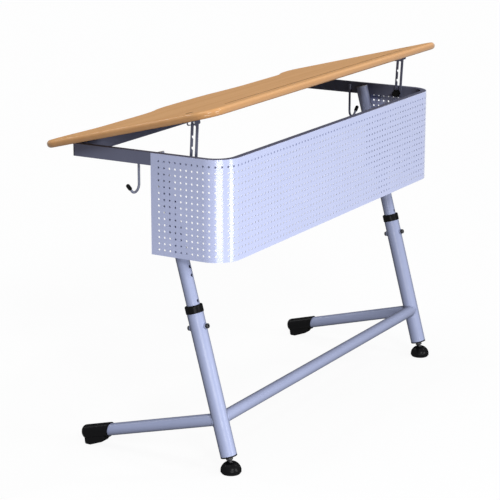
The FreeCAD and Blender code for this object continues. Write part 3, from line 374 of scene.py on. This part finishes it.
def plated(name, colour, duller, roughness, metallic):
    """Plated or blackened steel with a fine drawn texture and uneven sheen."""
    material, tree, shader = new_material(name)
    place = place_in_object(tree)
    blotches = noise(tree, place, scale=240.0, detail=3.0)
    tone = tint(tree, colour, duller, blotches)
    sheen = spread(tree, blotches, low=roughness - 0.07, high=roughness + 0.07)
    fine = bump(tree, noise(tree, place, scale=2600.0, detail=1.0), depth=0.00003, strength=0.3)
    feed(shader, Base_Color=tone, Roughness=sheen, Normal=fine, Metallic=metallic)
    return material


FINISHES = {
    # The tubes darken along their outline with painted shade
    "tube_coat": powder_coat(
        "tube_coat", colour=(0.356, 0.399, 0.583), deeper=(0.339, 0.380, 0.560),
        roughness=0.40, coat=0.30, shade=0.60,
    ),
    # Painted shade: the bag hooks take a darkened copy of the tubes' lavender paint, standing for
    # shade on the thin wire
    "painted_shade_wire_coat": powder_coat(
        "painted_shade_wire_coat", colour=(0.235, 0.250, 0.335), deeper=(0.220, 0.234, 0.316),
        roughness=0.40, coat=0.20,
    ),
    "panel_coat": powder_coat(
        "panel_coat", colour=(0.495, 0.543, 0.785), deeper=(0.481, 0.529, 0.768),
        roughness=0.36, coat=1.0, flat=True,
    ),
    "rail_coat": powder_coat(
        "rail_coat", colour=(0.160, 0.170, 0.245), deeper=(0.148, 0.157, 0.228),
        roughness=0.42, coat=0.15,
    ),
    "board": beech("board_finish"),
    "black_plastic": moulded(
        "black_plastic", colour=(0.0032, 0.0032, 0.0038), paler=(0.0056, 0.0056, 0.0064),
        roughness=0.45, coat=0.14,
    ),
    "grey_plastic": moulded(
        "grey_plastic", colour=(0.42, 0.44, 0.49), paler=(0.36, 0.38, 0.43),
        roughness=0.5, coat=0.2,
    ),
    "black_rubber": moulded(
        "black_rubber", colour=(0.0060, 0.0060, 0.0060), paler=(0.0100, 0.0100, 0.0100),
        roughness=0.62, coat=0.10, grain_scale=900.0,
    ),
    "zinc": plated(
        "zinc", colour=(0.60, 0.61, 0.64), duller=(0.50, 0.51, 0.54),
        roughness=0.36, metallic=1.0,
    ),
    "black_steel": plated(
        "black_steel", colour=(0.014, 0.014, 0.016), duller=(0.024, 0.024, 0.027),
        roughness=0.42, metallic=0.4,
    ),
}

# What the names of the nodes with each finish start with
FINISH_OF = {
    "tube_coat": ("outer_leg", "inner_leg", "foot_tube", "cross_tube", "lock_bosses"),
    # The bag hooks get the darkened copy of the tube paint, a painted shade
    "painted_shade_wire_coat": ("bag_hook",),
    "panel_coat": ("modesty_panel",),
    "rail_coat": (
        "upper_frame_bow", "rear_cross_rail", "stay_strip", "stay_bracket", "hinge_fixed_leaf",
    ),
    "board": ("tabletop",),
    "black_plastic": (
        "rail_cap", "leg_collar", "leg_plug", "foot_cap", "stay_knob", "guide_bush", "glide_pad",
    ),
    "grey_plastic": ("leg_cap",),
    "black_rubber": ("hook_tip",),
    "zinc": ("hinge_moving_leaf", "hinge_pin", "knob_bolt", "stay_nut", "stay_pin", "board_screws"),
    "black_steel": ("height_lock_screws", "glide_stem"),
}


def finish_nodes():
    for finish, stems in FINISH_OF.items():
        for name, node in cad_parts.items():
            if name.startswith(stems):
                node.data.materials.clear()
                node.data.materials.append(FINISHES[finish])


# Objects

def link_object(name, data):
    """An object of the scene for the mesh, lamp or camera."""
    made = bpy.data.objects.new(name, data)
    bpy.context.scene.collection.objects.link(made)
    return made


# Weld beads

def bead_size(index, count, closed):
    """A bead's width at a point, against its radius: rippled, and tapered at its free ends."""
    ripple = 1 + RIPPLE_DEPTH * math.cos(2 * math.pi * index / RIPPLE_STEPS)
    if closed:
        return ripple
    from_end = min(index, count - 1 - index) + FIRST_END_STEP
    return ripple * min(1, math.sqrt(from_end / RIPPLE_STEPS))


def bead_rings(mesh, path, radius, closed):
    """Rings of vertices round each point of a path, with no twist between them."""
    rings = []
    count = len(path)
    for index, point in enumerate(path):
        before = path[index - 1] if closed or index else point
        after = path[(index + 1) % count] if closed or index + 1 < count else point
        along = (after - before).normalized()
        if not rings:
            across = along.orthogonal().normalized()
        across = (across - along * across.dot(along)).normalized()
        up = along.cross(across)
        size = radius * bead_size(index, count, closed)
        ring = []
        for corner in range(BEAD_SEGMENTS):
            angle = 2 * math.pi * corner / BEAD_SEGMENTS
            out = across * math.cos(angle) + up * math.sin(angle)
            ring.append(mesh.verts.new(point + out * size))
        rings.append(ring)
    return rings


def sweep(name, path, radius, closed):
    """A rippled bead of weld along a path."""
    mesh = bmesh.new()
    rings = bead_rings(mesh, path, radius, closed)
    pairs = zip(rings, rings[1:] + rings[:1] if closed else rings[1:])
    for first, second in pairs:
        for corner in range(BEAD_SEGMENTS):
            following = (corner + 1) % BEAD_SEGMENTS
            mesh.faces.new((first[corner], first[following], second[following], second[corner]))
    if not closed:
        mesh.faces.new(rings[0][::-1])
        mesh.faces.new(rings[-1])
    bmesh.ops.recalc_face_normals(mesh, faces=mesh.faces)
    data = bpy.data.meshes.new(name)
    mesh.to_mesh(data)
    mesh.free()
    data.polygons.foreach_set("use_smooth", [True] * len(data.polygons))
    return link_object(name, data)


def even(path_at, stop):
    """Points on the curve from 0 to stop, close enough together for its ripples."""
    rough = [path_at(stop * step / MEASURING_STEPS) for step in range(MEASURING_STEPS + 1)]
    length = sum((b - a).length for a, b in zip(rough, rough[1:]))
    count = max(LEAST_RIPPLES, round(length / RIPPLE_PITCH)) * RIPPLE_STEPS
    return [path_at(stop * step / count) for step in range(count)]


def ring_weld(name, centre, tube_axis, offset):
    """The closed bead where a tube meets a leg at right angles, that far off its middle."""
    side = tube_axis.cross(LEG_AXIS)

    def at(angle):
        across = TUBE_RADIUS * math.sin(angle) + offset
        out = math.sqrt(LEG_RADIUS ** 2 - across ** 2)
        along = LEG_AXIS * TUBE_RADIUS * math.cos(angle)
        return centre + tube_axis * out + side * across + along

    return sweep(name, even(at, 2 * math.pi), BEAD_RADIUS, True)


def line_weld(name, start, end, radius):
    """A straight bead with two free ends."""
    return sweep(name, even(lambda share: start.lerp(end, share), 1), radius, False)


def on_leg(sign, rise):
    """The point on the axis of that side's leg."""
    return LEG_FOOT + Vector((sign * LEG_X, 0, 0)) + LEG_AXIS * rise


def leg_rail_weld(side, sign, place, way):
    """The bead in a corner between a leg and its rail."""
    into_corner = Vector((
        sign * (RAIL_INNER_X - LEG_X - LEG_WELD_INSET), way * LEG_WELD_OFFSET, 0,
    ))
    start, end = (
        on_leg(sign, (height - LEG_FOOT.z) / math.cos(LEG_LEAN)) + into_corner
        for height in (RAIL_BOTTOM, LEG_WELD_TOP)
    )
    return line_weld(f"weld_leg_rail_{place}_{side}", start, end, BEAD_RADIUS)


def hook_weld(side, sign, place, way):
    """The fine bead along one side of a bag hook's wire."""
    x = sign * (RAIL_INNER_X - HOOK_WELD_INSET)
    y = HOOK_Y + way * HOOK_WELD_OFFSET
    start, end = Vector((x, y, RAIL_BOTTOM + WELD_MARGIN)), Vector((x, y, HOOK_WELD_TOP))
    return line_weld(f"weld_hook_{place}_{side}", start, end, FINE_BEAD_RADIUS)


def cross_rail_weld(side, sign):
    """The bead in the front corner between the cross rail and the rail."""
    start = Vector((sign * RAIL_INNER_X, CROSS_RAIL_FRONT_Y, RAIL_BOTTOM + WELD_MARGIN))
    end = Vector((sign * RAIL_INNER_X, CROSS_RAIL_FRONT_Y, RAIL_TOP - WELD_MARGIN))
    return line_weld(f"weld_cross_rail_{side}", start, end, BEAD_RADIUS)


def side_welds(side, sign):
    """The beads on one side of the desk, each with the body it belongs to."""
    foot_tube, cross_tube = on_leg(sign, FOOT_TUBE_RISE), on_leg(sign, CROSS_TUBE_RISE)
    inward = Vector((-sign, 0, 0))
    offset = CROSS_TUBE_OFFSET * sign
    return (
        (ring_weld(f"weld_foot_tube_{side}", foot_tube, FOOT_TUBE_AXIS, 0), "base"),
        (ring_weld(f"weld_cross_tube_{side}", cross_tube, inward, offset), "base"),
        (leg_rail_weld(side, sign, "front", 1), "upper_frame"),
        (hook_weld(side, sign, "front", 1), "upper_frame"),
        (cross_rail_weld(side, sign), "upper_frame"),
        (leg_rail_weld(side, sign, "back", -1), "upper_frame"),
        (hook_weld(side, sign, "back", -1), "upper_frame"),
    )


def weld_all():
    for side, sign in SIDES:
        for bead, body in side_welds(side, sign):
            rails = body == "upper_frame"
            bead.data.materials.append(FINISHES["rail_coat" if rails else "tube_coat"])
            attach(bead, body)


# Studio

def towards(azimuth, elevation):
    """Unit direction; the azimuth turns from +Y towards +X."""
    turn, rise = math.radians(azimuth), math.radians(elevation)
    level = math.cos(rise)
    return Vector((math.sin(turn) * level, math.cos(turn) * level, math.sin(rise)))


def aim(made, direction):
    """Turns a lamp or the camera to look along the direction."""
    made.rotation_mode = "QUATERNION"
    made.rotation_quaternion = direction.to_track_quat("-Z", "Y")


def add_lamp(name, kind, place, direction):
    data = bpy.data.lights.new(name, kind)
    lamp = link_object(name, data)
    lamp.location = place
    lamp.visible_camera = False
    aim(lamp, direction)
    return data


def soft_sun(name, azimuth, elevation, width, strength):
    out = towards(azimuth, elevation)
    data = add_lamp(name, "SUN", out * SUN_DISTANCE, -out)
    data.angle = math.radians(width)
    data.energy = strength


def soft_box(name, azimuth, width, power):
    out = towards(azimuth, 0)
    data = add_lamp(name, "AREA", Vector((*BEND_PLAN, BOX_LEVEL)) + out * BOX_DISTANCE, -out)
    data.shape = "RECTANGLE"
    data.size = width
    data.size_y = BOX_HEIGHT
    data.energy = power


def build_lamps():
    for sun in SUNS:
        soft_sun(*sun)
    for box in SOFT_BOXES:
        soft_box(*box)


def backdrop_rays(tree):
    """1 for the rays that show the surroundings: camera, glossy and transmission."""
    path = add_node(tree, "ShaderNodeLightPath")
    shown = path.outputs["Is Camera Ray"]
    for name in ("Is Glossy Ray", "Is Transmission Ray"):
        shown = calculate(tree, "MAXIMUM", shown, path.outputs[name])
    return shown


def build_world():
    world = bpy.data.worlds.new("studio")
    bpy.context.scene.world = world
    world.use_nodes = True
    tree = world.node_tree
    tree.nodes.clear()
    soft = add_node(tree, "ShaderNodeBackground", Color=AMBIENT_COLOUR, Strength=AMBIENT)
    white = add_node(tree, "ShaderNodeBackground", Color=WHITE, Strength=1.0)
    mix = mix_shaders(tree, backdrop_rays(tree), soft.outputs[0], white.outputs[0])
    add_node(tree, "ShaderNodeOutputWorld", Surface=mix)


def floor_material():
    """Nearly white with faint shadows where it is seen, dark in the light it sends back."""
    material = bpy.data.materials.new("studio_floor")
    material.use_nodes = True
    tree = material.node_tree
    tree.nodes.clear()
    glow = add_node(tree, "ShaderNodeEmission", Color=WHITE, Strength=1.0)
    pale = add_node(tree, "ShaderNodeBsdfDiffuse", Color=FLOOR_SEEN)
    dark = add_node(tree, "ShaderNodeBsdfDiffuse", Color=FLOOR_BOUNCE)
    seen = mix_shaders(tree, FLOOR_SEEN_SHARE, glow.outputs[0], pale.outputs[0])
    mix = mix_shaders(tree, backdrop_rays(tree), dark.outputs[0], seen)
    add_node(tree, "ShaderNodeOutputMaterial", Surface=mix)
    return material


def build_floor():
    ways = ((-1, -1), (1, -1), (1, 1), (-1, 1))
    corners = [(FLOOR_REACH * x, FLOOR_REACH * y, 0) for x, y in ways]
    data = bpy.data.meshes.new("studio_floor")
    data.from_pydata(corners, [], [(0, 1, 2, 3)])
    data.materials.append(floor_material())
    floor = link_object("studio_floor", data)


def build_camera():
    data = bpy.data.cameras.new("camera")
    data.lens = CAMERA_LENS
    data.sensor_width = CAMERA_SENSOR
    data.clip_start = CAMERA_NEAR
    data.clip_end = CAMERA_FAR
    camera = link_object("camera", data)
    camera.location = CAMERA_PLACE
    aim(camera, CAMERA_AXIS)
    bpy.context.scene.camera = camera


finish_nodes()
weld_all()
build_world()
build_floor()
build_lamps()
build_camera()
bpy.context.scene.view_settings.view_transform = "Standard"
